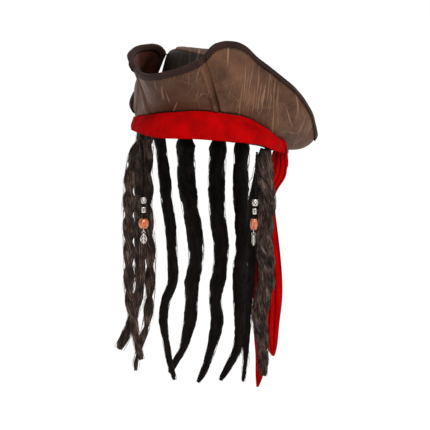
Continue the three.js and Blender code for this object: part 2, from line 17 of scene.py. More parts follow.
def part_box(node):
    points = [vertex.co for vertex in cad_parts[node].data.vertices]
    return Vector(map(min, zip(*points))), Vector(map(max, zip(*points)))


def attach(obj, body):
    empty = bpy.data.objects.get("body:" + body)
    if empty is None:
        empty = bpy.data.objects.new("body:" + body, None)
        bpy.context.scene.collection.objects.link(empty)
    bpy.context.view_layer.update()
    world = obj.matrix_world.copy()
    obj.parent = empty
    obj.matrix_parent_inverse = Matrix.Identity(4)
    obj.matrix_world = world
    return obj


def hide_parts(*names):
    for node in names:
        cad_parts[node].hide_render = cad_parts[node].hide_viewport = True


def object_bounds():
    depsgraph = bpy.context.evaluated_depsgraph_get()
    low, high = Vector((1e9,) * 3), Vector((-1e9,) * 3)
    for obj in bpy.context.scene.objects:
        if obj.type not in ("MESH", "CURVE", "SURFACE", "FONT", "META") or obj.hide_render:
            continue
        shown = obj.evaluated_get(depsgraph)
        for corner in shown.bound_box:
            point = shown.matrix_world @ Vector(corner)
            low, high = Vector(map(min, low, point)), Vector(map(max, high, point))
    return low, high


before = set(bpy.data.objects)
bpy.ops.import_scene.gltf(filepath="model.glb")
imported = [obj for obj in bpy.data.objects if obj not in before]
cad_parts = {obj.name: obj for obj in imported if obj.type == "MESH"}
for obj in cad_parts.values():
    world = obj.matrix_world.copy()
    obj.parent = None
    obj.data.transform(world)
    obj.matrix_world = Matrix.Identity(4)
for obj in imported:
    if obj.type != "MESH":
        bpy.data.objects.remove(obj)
CAD_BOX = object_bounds()
MM = 0.001
noise.seed_set(3)  # without a seed, noise_vector starts from the clock and differs each run

# %% [markdown]
# ## The view
# The hat hangs in the air as if on a head, so the camera looks at it almost level, from its front
# and a little to the wearer's left. A very long lens from eleven metres away keeps it as flat as in
# a catalogue.
# Everything that hangs was laid out square to this view, in a frame turned about the vertical.

# %% Camera
HANG_TURN = math.radians(22)
CAMERA_RISE = math.radians(8)
CAMERA_AWAY = 10.988
VIEW_SIDE = 4.0 * MM  # how far the middle of the view lies to the side of the head opening
VIEW_DROP = 89.2 * MM  # and how far below it
LENS = 800  # millimetres, on a full frame
FULL_FRAME = 36

sideways = Vector((math.cos(HANG_TURN), math.sin(HANG_TURN), 0))
to_camera = Vector((
    math.sin(HANG_TURN) * math.cos(CAMERA_RISE),
    -math.cos(HANG_TURN) * math.cos(CAMERA_RISE),
    math.sin(CAMERA_RISE),
))
upwards = to_camera.cross(sideways)
aim = sideways * VIEW_SIDE - upwards * VIEW_DROP

camera_data = bpy.data.cameras.new("camera")
camera_data.lens = LENS
camera_data.sensor_width = FULL_FRAME
camera_data.clip_end = 60
camera = bpy.data.objects.new("camera", camera_data)
camera.location = aim + to_camera * CAMERA_AWAY
camera.rotation_euler = (-to_camera).to_track_quat("-Z", "Y").to_euler()
bpy.context.scene.collection.objects.link(camera)
bpy.context.scene.camera = camera
bpy.context.scene.view_settings.view_transform = "Standard"  # colours show as they were picked
print("camera at", [round(c, 3) for c in camera.location], "upwards", [round(c, 3) for c in upwards])

# %% [markdown]
# ## Two small tools
# Colours are picked as sRGB hex values, as in any paint program, but shaders reckon in linear
# light, so one function turns the one into the other. Another adds a node to a material, sets its
# properties and fills its sockets, with a plain value or with a link from another node.

# %% Colours and nodes
def linear(hex_colour):
    """An sRGB hex colour as linear red, green, blue and alpha."""
    channels = [int(hex_colour[i:i + 2], 16) / 255 for i in (1, 3, 5)]
    return (*[c / 12.92 if c <= 0.04045 else ((c + 0.055) / 1.055) ** 2.4 for c in channels], 1)


def add_node(tree, kind, properties=None, sockets=None):
    """A new node with its properties and its input sockets, each set or linked."""
    made = tree.nodes.new(kind)
    for name, value in (properties or {}).items():
        setattr(made, name, value)
    for name, value in (sockets or {}).items():
        if isinstance(value, bpy.types.NodeSocket):
            tree.links.new(value, made.inputs[name])
        else:
            made.inputs[name].default_value = value
    return made


def new_material(name):
    """An empty material: its node tree, its surface shader and itself."""
    material = bpy.data.materials.new(name)
    material.use_nodes = True
    tree = material.node_tree
    return material, tree, tree.nodes["Principled BSDF"]


def ramp(tree, factor, stops):
    """A colour ramp of (position, hex colour) stops, driven by a factor."""
    made = add_node(tree, "ShaderNodeValToRGB", sockets={"Fac": factor})
    elements = made.color_ramp.elements
    while len(elements) < len(stops):
        elements.new(0.5)
    for element, (position, hex_colour) in zip(elements, stops):
        element.position = position
        element.color = linear(hex_colour)
    return made.outputs["Color"]


print("leather brown in linear light:", [round(c, 3) for c in linear("#6b4b3a")])

# %% [markdown]
# ## Floor and light
# A plain pale floor lies well below the locks' tips. The light is a photographer's: an even white
# surround, a broad key that comes through a diffuser from in front, above and the right of the
# view, and a panel behind that rims the locks.

# %% Floor and lights
FLOOR_DROP = 0.25  # metres from the lowest tip down to the floor
FLOOR_HEIGHT = CAD_BOX[0].z - FLOOR_DROP
bpy.ops.mesh.primitive_plane_add(size=80, location=(0, 0, FLOOR_HEIGHT))
floor = bpy.context.object
floor.name = "floor"
floor_paint, tree, shader = new_material("pale_paper_sweep")
shader.inputs["Base Color"].default_value = linear("#fbfaf9")
shader.inputs["Roughness"].default_value = 0.95
floor.data.materials.append(floor_paint)

world = bpy.data.worlds.new("studio")
world.use_nodes = True
world.node_tree.nodes["Background"].inputs["Color"].default_value = linear("#ffffff")
world.node_tree.nodes["Background"].inputs["Strength"].default_value = 0.5
bpy.context.scene.world = world

key_data = bpy.data.lights.new("key_through_diffuser", "SUN")
key_data.energy = 2.7
key_data.angle = math.radians(35)
key = bpy.data.objects.new("key_through_diffuser", key_data)
KEY_FROM = Vector((0.62, -0.75, 0.9))
key.rotation_euler = KEY_FROM.to_track_quat("Z", "Y").to_euler()
bpy.context.scene.collection.objects.link(key)

rim_data = bpy.data.lights.new("rim_panel", "AREA")
rim_data.size = 1.2
rim_data.energy = 5
rim = bpy.data.objects.new("rim_panel", rim_data)
rim.location = (0.9, 1.8, 0.9)
rim.rotation_euler = (rim.location - aim).to_track_quat("Z", "Y").to_euler()
bpy.context.scene.collection.objects.link(rim)
print("floor at", round(FLOOR_HEIGHT, 3), "m, key from", [round(c, 2) for c in KEY_FROM])

# %% [markdown]
# ## Hair
# A dreadlock is hair that has matted into a cord: a lumpy, loosely twisted core with fine hairs
# springing out of it. It could be thousands of hair curves, but the export keeps meshes only, so
# each lock is a mesh: one or more felted tubes twisted round its route, and a few hundred thin
# hairs laid over them.
# First the two hair materials. Each hair's direction runs along V of the lock's own UV map.

# %% Matted hair
def matted_hair(name, dark, middle, light, gloss):
    """Synthetic hair matted into locks: dull, with paler streaks where single fibres catch light."""
    material, tree, shader = new_material(name)
    uv = add_node(tree, "ShaderNodeUVMap", {"uv_map": "along"})
    fibres = add_node(tree, "ShaderNodeMapping", sockets={
        "Vector": uv.outputs["UV"], "Scale": (900, 60, 1),  # U and V are in metres
    })
    streak = add_node(tree, "ShaderNodeTexNoise", {"noise_dimensions": "2D"}, {
        "Vector": fibres.outputs["Vector"], "Scale": 1.0, "Detail": 4.0, "Roughness": 0.65,
    })
    place = add_node(tree, "ShaderNodeTexCoord")
    patch = add_node(tree, "ShaderNodeTexNoise", sockets={
        "Vector": place.outputs["Object"], "Scale": 70.0, "Detail": 3.0, "Roughness": 0.6,
    })
    both = add_node(tree, "ShaderNodeMath", {"operation": "MULTIPLY_ADD"}, {
        0: patch.outputs["Fac"], 1: 0.55, 2: -0.27,
    })
    tone = add_node(tree, "ShaderNodeMath", {"operation": "ADD"}, {
        0: streak.outputs["Fac"], 1: both.outputs["Value"],
    })
    colour = ramp(tree, tone.outputs["Value"], [(0.32, dark), (0.5, middle), (0.72, light)])
    tree.links.new(colour, shader.inputs["Base Color"])
    bump = add_node(tree, "ShaderNodeBump", sockets={
        "Strength": 0.9, "Distance": 0.0012, "Height": streak.outputs["Fac"],
    })
    tree.links.new(bump.outputs["Normal"], shader.inputs["Normal"])
    shader.inputs["Roughness"].default_value = 0.62
    shader.inputs["IOR"].default_value = 1.55  # keratin and the nylon that imitates it
    shader.inputs["Specular IOR Level"].default_value = gloss
    return material


BLACK_HAIR = matted_hair("black_matted_nylon_hair", "#050201", "#0a0503", "#1d130e", 0.08)
BROWN_HAIR = matted_hair("brown_matted_nylon_hair", "#0a0503", "#20140f", "#6e574b", 0.14)
print("hair materials:", BLACK_HAIR.name, BROWN_HAIR.name)

# %% [markdown]
# A lock's route is a list of points in millimetres, root first, in the frame turned to the view.
# A smooth curve through them is sampled at even steps, and its length is the lock's real length.

# %% Routes
def hanging(point):
    """A point of the turned hanging frame, in millimetres, as a point of the model in metres."""
    x, y, z = point
    cos, sin = math.cos(HANG_TURN), math.sin(HANG_TURN)
    return Vector((x * cos - y * sin, x * sin + y * cos, z)) * MM


def between(a, b, c, d, t):
    """A point from b (t = 0) to c (t = 1) on the smooth curve through four knots."""
    return 0.5 * (2 * b + (c - a) * t + (2 * a - 5 * b + 4 * c - d) * t ** 2
                  + (3 * (b - c) + d - a) * t ** 3)


def smooth_route(points, step):
    """Evenly spaced points, about a step apart in metres, on a smooth curve through a route."""
    knots = [hanging(p) for p in points]
    knots = [2 * knots[0] - knots[1], *knots, 2 * knots[-1] - knots[-2]]
    fine = []
    for a, b, c, d in zip(knots, knots[1:], knots[2:], knots[3:]):
        fine += [between(a, b, c, d, i / 24) for i in range(24)]
    fine = np.array([*fine, knots[-2]])
    lengths = np.r_[0, np.cumsum(np.linalg.norm(np.diff(fine, axis=0), axis=1))]
    count = max(8, round(lengths[-1] / step))
    wanted = np.linspace(0, lengths[-1], count + 1)
    even = np.column_stack([np.interp(wanted, lengths, fine[:, k]) for k in range(3)])
    return even, float(lengths[-1])


def frames_along(centres):
    """Two directions square to the route at each of its points."""
    forward = np.gradient(centres, axis=0)
    forward /= np.linalg.norm(forward, axis=1)[:, None]
    depth = np.array(hanging((0, 1, 0)).normalized())
    side = np.cross(forward, depth)
    side /= np.linalg.norm(side, axis=1)[:, None]
    return side, np.cross(side, forward)


print("a test route:", round(smooth_route([(0, 0, 0), (0, 0, -100)], 0.01)[1], 3), "m")

# %% [markdown]
# The felted core: rings of points round the route. Slow noise makes it thick and thin as matted
# hair is, a two-sided twist runs down it, and fine noise roughens it. A lock with several strands
# has each one wind round the route.

# %% A lumpy tube
def tube(centres, radii, turn, sides, uv_offset, round_tip=True):
    """Rings of a lumpy tube round a line: its points, quads, and UVs in metres."""
    side, across = frames_along(centres)
    count = len(centres)
    along = np.r_[0, np.cumsum(np.linalg.norm(np.diff(centres, axis=0), axis=1))]
    angles = np.arange(sides) / sides * math.tau
    points, uvs = [], []
    for i in range(count):
        for k, angle in enumerate(angles):
            direction = side[i] * math.cos(angle) + across[i] * math.sin(angle)
            place = Vector(centres[i] + direction * radii[i])
            lump = 0.17 * noise.noise(place / (11 * MM)) + 0.1 * noise.noise(place / (4.5 * MM))
            twist = 0.1 * math.cos(2 * (angle + turn * along[i]))
            end = min(1, (count - i) / 3) ** 0.5 if round_tip else 1
            reach = radii[i] * (1 + lump + twist) * max(end, 0.08)
            points.append(centres[i] + direction * reach)
            uvs.append((k / sides * math.tau * radii.mean() + uv_offset, along[i]))
    quads = []
    for i in range(count - 1):
        for k in range(sides):
            k2 = (k + 1) % sides
            quads.append((i * sides + k, i * sides + k2, (i + 1) * sides + k2, (i + 1) * sides + k))
    quads.append(tuple(range(sides))[::-1])
    quads.append(tuple(range((count - 1) * sides, count * sides)))
    return points, quads, uvs


print("lumps swell a lock by up to a quarter of its radius")

# %% [markdown]
# Single hairs come next: each starts on the surface, follows the lock for a few centimetres and
# lifts off a little, so that the outline is fuzzy and not cut. They are three-sided, because nobody
# sees more of a hair than that it is thin.

# %% Single hairs
HAIR_STEPS = 6  # short straight pieces that a hair is made of


def single_hairs(centres, radii, count, lift, rng):
    """Thin three-sided hairs that follow a lock and stand a little off it."""
    side, across = frames_along(centres)
    step = float(np.linalg.norm(centres[1] - centres[0]))
    last = len(centres) - 1
    points, faces, uvs = [], [], []
    for _ in range(count):
        start = rng.uniform(0, last - 4)
        span = rng.uniform(12, 38) * MM / step
        angle = rng.uniform(0, math.tau)
        drift = rng.uniform(-0.9, 0.9)
        rise = rng.uniform(0.2, 1) ** 2 * lift
        out_at_tip = rng.random() < 0.35
        thick = rng.uniform(0.16, 0.34) * MM
        uv_at = rng.uniform(0, 0.05)
        line = []
        for j in range(HAIR_STEPS + 1):
            share = j / HAIR_STEPS
            at = min(start + share * span, last)
            i = min(int(at), last - 1)
            t = at - i
            centre = centres[i] * (1 - t) + centres[i + 1] * t
            radius = radii[i] * (1 - t) + radii[i + 1] * t
            a = angle + drift * share
            direction = side[i] * math.cos(a) + across[i] * math.sin(a)
            arch = share ** 2 if out_at_tip else math.sin(math.pi * share)
            line.append(centre + direction * (radius * 0.99 + rise * arch))
        base = len(points)
        line = np.array(line)
        line_side, line_across = frames_along(line)
        for j in range(HAIR_STEPS + 1):
            taper = thick * (1 - 0.8 * j / HAIR_STEPS)
            for k in range(3):
                a = k / 3 * math.tau
                off = line_side[j] * math.cos(a) + line_across[j] * math.sin(a)
                points.append(line[j] + taper * off)
                uvs.append((uv_at + 0.2 * MM * k, j * 4 * MM))
        for j in range(HAIR_STEPS):
            near, far = base + 3 * j, base + 3 * j + 3
            for k in range(3):
                k2 = (k + 1) % 3
                faces.append((near + k, near + k2, far + k2, far + k))
        faces.append((base + 2, base + 1, base))
        tip = base + 3 * HAIR_STEPS
        faces.append((tip, tip + 1, tip + 2))
    return points, faces, uvs


print("a hair has", 3 * (HAIR_STEPS + 1), "points")

# %% [markdown]
# A lock is its tubes and its hairs in one mesh. Its root goes up behind the headband to the tape
# that it is sewn to, and is a little narrower there.

# %% Locks
def join_parts(parts):
    """The points, faces and UVs of several parts as one list of each."""
    points, faces, uvs = [], [], []
    for part_points, part_faces, part_uvs in parts:
        faces += [tuple(v + len(points) for v in face) for face in part_faces]
        points += part_points
        uvs += part_uvs
    return points, faces, uvs


def mesh_piece(name, points, faces, uvs, material, smooth=True):
    """A mesh object of these points and faces, with a UV map named along."""
    mesh = bpy.data.meshes.new(name)
    mesh.from_pydata([tuple(p) for p in points], [], faces)
    layer = mesh.uv_layers.new(name="along")
    corner_points = np.zeros(len(mesh.loops), int)
    mesh.loops.foreach_get("vertex_index", corner_points)
    layer.data.foreach_set("uv", np.array(uvs, float)[corner_points].ravel())
    mesh.materials.append(material)
    if smooth:
        mesh.shade_smooth()
    piece = bpy.data.objects.new(name, mesh)
    bpy.context.scene.collection.objects.link(piece)
    return piece


ROOT_RISE = 9  # millimetres that a lock's root goes up behind the headband, to its sewing tape
ROOT_WIDTH = 0.68  # of the lock's own width, where it is sewn
LOCK_STEP = 2.4 * MM  # between the rings of a lock


def make_lock(node, body, material, radii, route, strands=1, turns_per_metre=9, hairs=220,
              lift=1.1, rise=ROOT_RISE):
    """One dreadlock in place of its CAD node."""
    rng = np.random.default_rng(sum(map(ord, node)))
    root = route[0]
    route = [(root[0], root[1], root[2] + rise), *route]
    centres, length = smooth_route(route, LOCK_STEP)
    shares = np.linspace(0, 1, len(centres))
    thickness = np.interp(shares, np.linspace(0, 1, len(radii)), radii) * MM
    thickness *= np.interp(shares * length, [0, ROOT_RISE * MM], [ROOT_WIDTH, 1])
    turn = math.tau * turns_per_metre
    parts = []
    side, across = frames_along(centres)
    along = shares * length
    for s in range(strands):
        phase = s / strands * math.tau + turn * along
        off = thickness[:, None] * (0 if strands == 1 else 0.46)
        line = centres + off * (side * np.cos(phase)[:, None] + across * np.sin(phase)[:, None])
        swell = 1 if strands == 1 else 0.66
        sides = 18 if strands == 1 else 12
        parts.append(tube(line, thickness * swell, turn, sides, 13 * MM * s))
    parts.append(single_hairs(centres, thickness * 1.04, hairs, lift * MM, rng))
    points, faces, uvs = join_parts(parts)
    piece = mesh_piece(node + "_matted", points, faces, uvs, material)
    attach(piece, body)
    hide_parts(node)
    print(f"{piece.name}: {length * 1000:.0f} mm long, {len(points)} points")
    return piece


print("a lock's root rises", ROOT_RISE, "mm")

# %% [markdown]
# Four long near-black locks hang from the back of the hat.

# %% Back locks
LOW_RISE = 6  # the two thickest locks are sewn lower, to touch less of the hat as they swing


make_lock("back_lock_1", "back_locks_pair", BLACK_HAIR, [6.4, 6.4, 5.8, 5, 2.2], [
    (-60, 58, -8), (-54, 60, -58), (-52, 62, -83), (-48, 62, -106), (-46, 62, -140), (-45, 62, -176),
    (-53, 62, -199), (-56, 62, -222), (-53, 62, -245), (-49, 62, -269), (-43, 61, -292),
])
make_lock("back_lock_2", "back_locks_pair", BLACK_HAIR, [10.4, 9.6, 8.4, 7, 3], [
    (-30, 85, -18), (-29, 86, -62), (-26, 86, -85), (-20, 86, -120), (-18, 86, -154), (-23, 86, -183),
    (-24, 86, -218), (-28, 86, -240), (-33, 86, -259), (-42, 85, -274), (-49, 84, -287),
], rise=LOW_RISE)
make_lock("back_lock_3", "back_lock_third", BLACK_HAIR, [9.8, 9, 8.2, 7, 2.6], [
    (8, 96, -21), (6, 96, -62), (7, 96, -103), (11, 96, -138), (9, 96, -173), (5, 96, -195),
    (6, 96, -230), (2, 96, -252), (-5, 96, -276), (-10, 95, -289), (-16, 94, -300),
], rise=LOW_RISE)
make_lock("back_lock_4", "back_lock_fourth", BLACK_HAIR, [8.8, 8.6, 8.2, 7, 2.6], [
    (35, 92, -23), (34, 92, -62), (34, 92, -85), (36, 92, -114), (36, 92, -143), (33, 92, -168),
    (33, 92, -213), (34, 92, -238), (29, 92, -263), (20, 91, -280), (10, 90, -297),
])

# %% [markdown]
# The brown locks frame the face. The thick one at the wearer's left is a loose rope of three
# strands. The three at the right have matted together, and one of them ends in a knot.

# %% Face locks
make_lock("left_lock_thick", "left_locks", BROWN_HAIR, [8, 9, 9, 8.4, 4], [
    (61, -56, -15), (62, -58, -41), (64, -60, -64), (62, -60, -87), (60, -60, -111), (63, -60, -134),
    (63, -60, -157), (58, -60, -180), (55, -60, -200), (57, -60, -218), (59, -60, -236), (60, -60, -268),
], strands=3, turns_per_metre=15, hairs=420, lift=3.0)
make_lock("left_lock_thin", "left_locks", BLACK_HAIR, [4.5, 6, 5.4, 4.2, 1.8], [
    (58, -40, -22), (53, -39, -40), (49, -38, -64), (48, -38, -106), (46, -38, -150), (42, -38, -190),
    (40, -38, -229), (39, -38, -255), (36, -38, -278),
], hairs=240, lift=3.0)
make_lock("right_lock_1", "right_locks", BROWN_HAIR, [5.6, 6.4, 6.2, 5.4, 3.4], [
    (-81, -9, 1), (-90, -8, -24), (-94, -6, -55), (-95, -5, -90), (-95, -4, -125), (-95, -4, -158),
    (-94, -4, -189), (-90, -4, -213), (-86, -4, -238), (-81, -4, -258),
], strands=2, turns_per_metre=17, lift=2.6)
make_lock("right_lock_2", "right_locks", BROWN_HAIR, [5.6, 6.4, 6.2, 5.4, 5], [
    (-81, 12, 0), (-82, 20, -26), (-82, 24, -60), (-83, 25, -92), (-83, 25, -125), (-83, 25, -170),
    (-87, 25, -199), (-92, 25, -216), (-99, 25, -233), (-107, 25, -250),
], turns_per_metre=20, lift=2.6)
make_lock("right_lock_3", "right_locks", BROWN_HAIR, [5.6, 6.2, 6, 5, 2], [
    (-72, 38, -6), (-74, 44, -32), (-74, 47, -62), (-74, 48, -95), (-72, 48, -128), (-71, 48, -161),
    (-72, 48, -196), (-75, 48, -225), (-82, 48, -247), (-87, 48, -266), (-88, 48, -279),
], strands=2, turns_per_metre=14, lift=2.8)

# %% [markdown]
# ## Working on a copy of a CAD piece
# The hat's shells already have their true shape in the CAD model, so the surest start is a copy of
# that mesh: its loose triangles are merged into quads, its sharp edges are creased, and a
# subdivision surface rounds it. Then a slow wave bends all the hat's pieces alike, as soft
# material does, so that neighbours stay together.

# %% Copies
def focus(piece):
    """Makes one object the only selected one and the active one."""
    bpy.ops.object.select_all(action="DESELECT")
    piece.select_set(True)
    bpy.context.view_layer.objects.active = piece


def apply_modifier(piece, kind, **settings):
    """Adds a modifier with its settings and applies it."""
    focus(piece)
    modifier = piece.modifiers.new(kind.lower(), kind)
    for name, value in settings.items():
        setattr(modifier, name, value)
    bpy.ops.object.modifier_apply(modifier=modifier.name)


def copy_of(node, name, levels, crease_from=60):
    """A smooth copy of a CAD node; edges sharper than crease_from degrees stay crisp."""
    piece = bpy.data.objects.new(name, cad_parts[node].data.copy())
    bpy.context.scene.collection.objects.link(piece)
    piece.data.materials.clear()
    focus(piece)
    bpy.ops.object.mode_set(mode="EDIT")
    bpy.ops.mesh.select_all(action="SELECT")
    bpy.ops.mesh.customdata_custom_splitnormals_clear()
    bpy.ops.mesh.remove_doubles(threshold=0.01 * MM)
    bpy.ops.mesh.tris_convert_to_quads(face_threshold=math.radians(50), shape_threshold=math.radians(70))
    bpy.ops.mesh.select_mode(type="EDGE")
    bpy.ops.mesh.select_all(action="DESELECT")
    bpy.ops.mesh.edges_select_sharp(sharpness=math.radians(crease_from))
    bpy.ops.transform.edge_crease(value=1)
    bpy.ops.object.mode_set(mode="OBJECT")
    if levels:
        apply_modifier(piece, "SUBSURF", levels=levels, render_levels=levels)
    piece.data.shade_smooth()
    return piece


print("copies are bare meshes: their materials and bodies are given below")

# %% [markdown]
# Next, what is done to a finished copy: its points are moved by a function of their place, it gets
# a UV map in metres that goes round the head, and it is settled with its material and its body.

# %% Bending and settling
def soft_wave(place):
    """How far soft material has moved at a place: slow bends and a few smaller buckles."""
    slow = noise.noise_vector(place / (55 * MM) + Vector((3.1, 7.7, 1.9))) * 1.5 * MM
    quick = noise.noise_vector(place / (19 * MM) + Vector((9.2, 0.4, 5.5))) * 0.55 * MM
    return slow + quick


def move_points(piece, shift):
    """Moves every point of a piece by what a function of its place and normal gives."""
    mesh = piece.data
    normals = [v.normal.copy() for v in mesh.vertices]
    for vertex, normal in zip(mesh.vertices, normals):
        vertex.co += shift(vertex.co.copy(), normal)
    mesh.update()


def wrap_uv(piece, reach=95 * MM):
    """A UV map in metres for what goes round the head: U runs round it and V is the height."""
    mesh = piece.data
    layer = mesh.uv_layers.new(name="along")
    for polygon in mesh.polygons:
        first = None
        for corner in polygon.loop_indices:
            place = mesh.vertices[mesh.loops[corner].vertex_index].co
            angle = math.atan2(place.x, -place.y)
            first = angle if first is None else first
            angle += math.tau * round((first - angle) / math.tau)
            layer.data[corner].uv = (angle * reach, place.z)


def settle(piece, body, slot_name, material, *nodes):
    """Gives a finished piece its material, its body and the CAD nodes it stands for; slot_name is not used.
    """
    if material is not None:
        piece.data.materials.clear()
        piece.data.materials.append(material)
    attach(piece, body)
    if nodes:
        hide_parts(*nodes)
    print(f"{piece.name}: {len(piece.data.polygons)} faces on {body}")


print("a soft wave moves a point by", [round(c * 1000, 2) for c in soft_wave(Vector((0.1, 0, 0.05)))], "mm")

# %% [markdown]
# ## The cracked leather
# The hat is cut from imitation leather: a polyurethane skin on a fabric back, printed in waxy
# browns and crumpled until it cracked. That shows as cloudy changes of brown, a net of fine pale
# cracks that comes and goes, long scratches, and a soft uneven shine. The net is a Voronoi pattern
# with cells of 8 to 40 mm whose place is stirred by noise; its cell edges are the cracks. The
# scratches run up and down, so they come from a noise that is drawn out along the hat's height.

# %% Leather materials
SCRATCHED_SIDE = math.radians(22)  # the way across the front's scratches, turned from +X
SCRATCHED_PATCH = (80 * MM, -50 * MM, 60 * MM)  # where they lie thickest, on the left flap
PAINTED_SHADE_CENTRE = (-4 * MM, -112 * MM, 50 * MM)  # painted shade: the front corner, which faces down and away from the key, is darkened


def cracked_leather(name, dark, middle, light, crack, crack_strength):
    """Crumpled polyurethane imitation leather: cloudy colour, pale cracks, scratches, dull shine."""
    material, tree, shader = new_material(name)
    place = add_node(tree, "ShaderNodeTexCoord").outputs["Object"]
    stir = add_node(tree, "ShaderNodeTexNoise", sockets={"Vector": place, "Scale": 55.0, "Detail": 3.0})
    centred = add_node(tree, "ShaderNodeVectorMath", {"operation": "SUBTRACT"}, {
        0: stir.outputs["Color"], 1: (0.5, 0.5, 0.5),
    })
    reach = add_node(tree, "ShaderNodeVectorMath", {"operation": "SCALE"}, {
        0: centred.outputs["Vector"], "Scale": 0.016,
    })
    stirred = add_node(tree, "ShaderNodeVectorMath", {"operation": "ADD"}, {
        0: place, 1: reach.outputs["Vector"],
    }).outputs["Vector"]

    def thin_lines(cells_per_metre, width):
        cells = add_node(tree, "ShaderNodeTexVoronoi", {"feature": "DISTANCE_TO_EDGE"}, {
            "Vector": stirred, "Scale": cells_per_metre,
        })
        return add_node(tree, "ShaderNodeMapRange", {"interpolation_type": "SMOOTHSTEP"}, {
            "Value": cells.outputs["Distance"], "From Min": 0.0, "From Max": width,
            "To Min": 1.0, "To Max": 0.0,
        }).outputs["Result"]

    def scratches(lean, seed, pitch, length, least, side=SCRATCHED_SIDE):
        turned = add_node(tree, "ShaderNodeMapping", {"vector_type": "TEXTURE"}, {
            "Vector": place, "Rotation": (0, lean, side), "Location": (seed, 0, 0),
            "Scale": (pitch, length, length),
        })
        lines = add_node(tree, "ShaderNodeTexNoise", sockets={
            "Vector": turned.outputs["Vector"], "Scale": 1.0, "Detail": 1.0,
        })
        return add_node(tree, "ShaderNodeMapRange", sockets={
            "Value": lines.outputs["Fac"], "From Min": least, "From Max": least + 0.05,
        }).outputs["Result"]

    def combined(operation, first, second):
        return add_node(tree, "ShaderNodeMath", {"operation": operation, "use_clamp": True}, {
            0: first, 1: second,
        }).outputs["Value"]

    worn = add_node(tree, "ShaderNodeTexNoise", sockets={"Vector": place, "Scale": 16.0, "Detail": 3.0})
    worn_here = add_node(tree, "ShaderNodeMapRange", {"interpolation_type": "SMOOTHSTEP"}, {
        "Value": worn.outputs["Fac"], "From Min": 0.46, "From Max": 0.7, "To Min": 0.06,
    }).outputs["Result"]
    net = combined("MAXIMUM", thin_lines(24.0, 0.01), combined("MULTIPLY", thin_lines(120.0, 0.05), 0.22))
    from_patch = add_node(tree, "ShaderNodeVectorMath", {"operation": "DISTANCE"}, {
        0: place, 1: SCRATCHED_PATCH,
    })
    patch = add_node(tree, "ShaderNodeMapRange", {"interpolation_type": "SMOOTHSTEP"}, {
        "Value": from_patch.outputs["Value"], "From Min": 8 * MM, "From Max": 42 * MM,
        "To Min": 1.0, "To Max": 0.0,
    }).outputs["Result"]
    scored = combined("MAXIMUM", scratches(0.3, 0.0, 2.6 * MM, 70 * MM, 0.66), combined("MAXIMUM",
        scratches(0.05, 0.07, 3 * MM, 90 * MM, 0.68), scratches(-0.25, 0.19, 3.4 * MM, 60 * MM, 0.71)))
    fine = combined("MULTIPLY", scratches(0.12, 0.31, 1.6 * MM, 36 * MM, 0.55), patch)
    scored = combined("MAXIMUM", scored, combined("MULTIPLY", fine, 0.8))
    quarter_on = SCRATCHED_SIDE + math.pi / 2  # the hat's sides have scratches of their own
    on_the_sides = combined("MAXIMUM", scratches(0.2, 0.0, 2.6 * MM, 70 * MM, 0.66, quarter_on),
                            scratches(-0.15, 0.13, 3 * MM, 60 * MM, 0.68, quarter_on))
    normal = add_node(tree, "ShaderNodeTexCoord").outputs["Normal"]
    across = add_node(tree, "ShaderNodeVectorMath", {"operation": "DOT_PRODUCT"}, {
        0: normal, 1: (math.cos(SCRATCHED_SIDE), math.sin(SCRATCHED_SIDE), 0),
    }).outputs["Value"]
    edge_on = add_node(tree, "ShaderNodeMath", {"operation": "ABSOLUTE"}, {0: across}).outputs["Value"]
    to_side = add_node(tree, "ShaderNodeMapRange", sockets={
        "Value": edge_on, "From Min": 0.62, "From Max": 0.78,
    }).outputs["Result"]
    to_front = add_node(tree, "ShaderNodeMapRange", sockets={
        "Value": edge_on, "From Min": 0.62, "From Max": 0.78, "To Min": 1.0, "To Max": 0.0,
    }).outputs["Result"]
    scored = combined("MAXIMUM", combined("MULTIPLY", scored, to_front),
                      combined("MULTIPLY", on_the_sides, to_side))
    marks = combined("MAXIMUM", combined("MULTIPLY", net, worn_here), combined("MULTIPLY", scored, 0.85))
    clouds = add_node(tree, "ShaderNodeTexNoise", sockets={
        "Vector": place, "Scale": 26.0, "Detail": 6.0, "Roughness": 0.62,
    })
    colour = ramp(tree, clouds.outputs["Fac"], [(0.32, dark), (0.5, middle), (0.7, light)])
    # Painted shade: round the front corner the colour is mixed towards the dark brown, by up to 0.55.
    from_front = add_node(tree, "ShaderNodeVectorMath", {"operation": "DISTANCE"}, {
        0: place, 1: PAINTED_SHADE_CENTRE,
    })
    painted_front_shade = add_node(tree, "ShaderNodeMapRange", {"interpolation_type": "SMOOTHSTEP"}, {
        "Value": from_front.outputs["Value"], "From Min": 22 * MM, "From Max": 62 * MM,
        "To Min": 0.55, "To Max": 0.0,
    }).outputs["Result"]
    colour = add_node(tree, "ShaderNodeMix", {"data_type": "RGBA"}, {
        0: painted_front_shade, 6: colour, 7: linear(dark),
    }).outputs[2]
    paled = add_node(tree, "ShaderNodeMix", {"data_type": "RGBA"}, {
        0: combined("MULTIPLY", marks, crack_strength), 6: colour, 7: linear(crack),
    })
    tree.links.new(paled.outputs[2], shader.inputs["Base Color"])
    grain = add_node(tree, "ShaderNodeTexVoronoi", sockets={"Vector": stirred, "Scale": 620.0})
    relief = add_node(tree, "ShaderNodeMath", {"operation": "MULTIPLY_ADD"}, {
        0: marks, 1: 0.8, 2: combined("MULTIPLY", grain.outputs["Distance"], 0.35),
    })
    crumple = add_node(tree, "ShaderNodeMath", {"operation": "MULTIPLY_ADD"}, {
        0: clouds.outputs["Fac"], 1: 2.2, 2: relief.outputs["Value"],
    })
    bump = add_node(tree, "ShaderNodeBump", sockets={
        "Strength": 0.55, "Distance": 0.0012, "Height": crumple.outputs["Value"],
    })
    tree.links.new(bump.outputs["Normal"], shader.inputs["Normal"])
    dullness = add_node(tree, "ShaderNodeMapRange", sockets={
        "Value": clouds.outputs["Fac"], "From Min": 0.3, "From Max": 0.7, "To Min": 0.62, "To Max": 0.46,
    })
